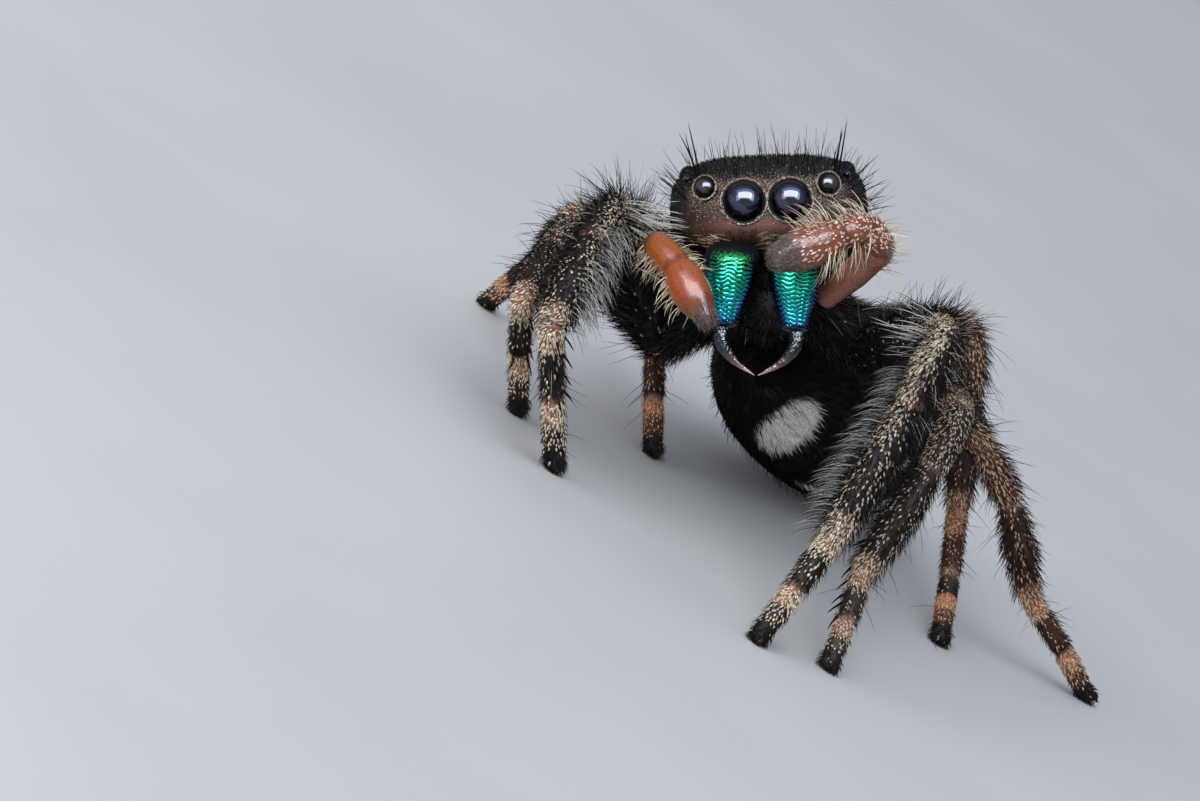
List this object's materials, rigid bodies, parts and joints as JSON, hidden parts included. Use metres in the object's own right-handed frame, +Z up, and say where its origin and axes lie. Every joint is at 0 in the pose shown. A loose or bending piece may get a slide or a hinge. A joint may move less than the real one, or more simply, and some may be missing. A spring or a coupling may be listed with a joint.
{
  "type": "jumping spider",
  "caption": "Life-size still model of a bold jumping spider on its feet, fore body tilted, iridescent green jaws and crossed palps, dark hairy legs with pale rings.",
  "frame": {"origin": "on the ground, under the middle of the whole spider's bounding box", "axes": "+Z up from the ground; the spider looks along -Y; its right side is at -X; +X is the widest extent, across the spread feet"},
  "size_m": [0.0124, 0.0118, 0.0061],
  "materials": {
    "carapace": "dark brown cuticle under fine bronze-grey scales",
    "underside": "black-brown cuticle under dark hairs",
    "main_eyes": "blue-black polished lens",
    "small_eyes": "brown-black polished lens",
    "chelicerae": "metallic green to blue, finely wrinkled across",
    "fangs": "shiny dark brown, paler at the tips",
    "palps": "smooth orange-brown below, scaled above, with a cream fringe",
    "legs": "dark brown with black hairs, pale scales and cream rings",
    "abdomen": "velvet black with pale bands and spots"
  },
  "bodies": {
    "root": {"carapace": "carapace", "sternum": "underside", "mouthparts": "underside", "eye_anterior_median_right": "main_eyes", "eye_anterior_median_left": "main_eyes", "eye_anterior_lateral_right": "small_eyes", "eye_anterior_lateral_left": "small_eyes", "eye_posterior_median_right": "small_eyes", "eye_posterior_median_left": "small_eyes", "eye_posterior_lateral_right": "small_eyes", "eye_posterior_lateral_left": "small_eyes", "chelicera_right": "chelicerae", "chelicera_left": "chelicerae", "fang_right": "fangs", "fang_left": "fangs", "palp_right_femur": "palps", "palp_right_patella_tibia": "palps", "palp_right_tarsus": "palps", "palp_left_femur": "palps", "palp_left_patella_tibia": "palps", "palp_left_tarsus": "palps", "leg_right_1_coxa_trochanter": "legs", "leg_right_1_femur": "legs", "leg_right_1_patella_tibia": "legs", "leg_right_1_metatarsus_tarsus": "legs", "leg_right_2_coxa_trochanter": "legs", "leg_right_2_femur": "legs", "leg_right_2_patella_tibia": "legs", "leg_right_2_metatarsus_tarsus": "legs", "leg_right_3_coxa_trochanter": "legs", "leg_right_3_femur": "legs", "leg_right_3_patella_tibia": "legs", "leg_right_3_metatarsus_tarsus": "legs", "leg_right_4_coxa_trochanter": "legs", "leg_right_4_femur": "legs", "leg_right_4_patella_tibia": "legs", "leg_right_4_metatarsus_tarsus": "legs", "leg_left_1_coxa_trochanter": "legs", "leg_left_1_femur": "legs", "leg_left_1_patella_tibia": "legs", "leg_left_1_metatarsus_tarsus": "legs", "leg_left_2_coxa_trochanter": "legs", "leg_left_2_femur": "legs", "leg_left_2_patella_tibia": "legs", "leg_left_2_metatarsus_tarsus": "legs", "leg_left_3_coxa_trochanter": "legs", "leg_left_3_femur": "legs", "leg_left_3_patella_tibia": "legs", "leg_left_3_metatarsus_tarsus": "legs", "leg_left_4_coxa_trochanter": "legs", "leg_left_4_femur": "legs", "leg_left_4_patella_tibia": "legs", "leg_left_4_metatarsus_tarsus": "legs", "pedicel": "underside", "abdomen": "abdomen", "spinnerets": "underside"}
  },
  "joints": []
}
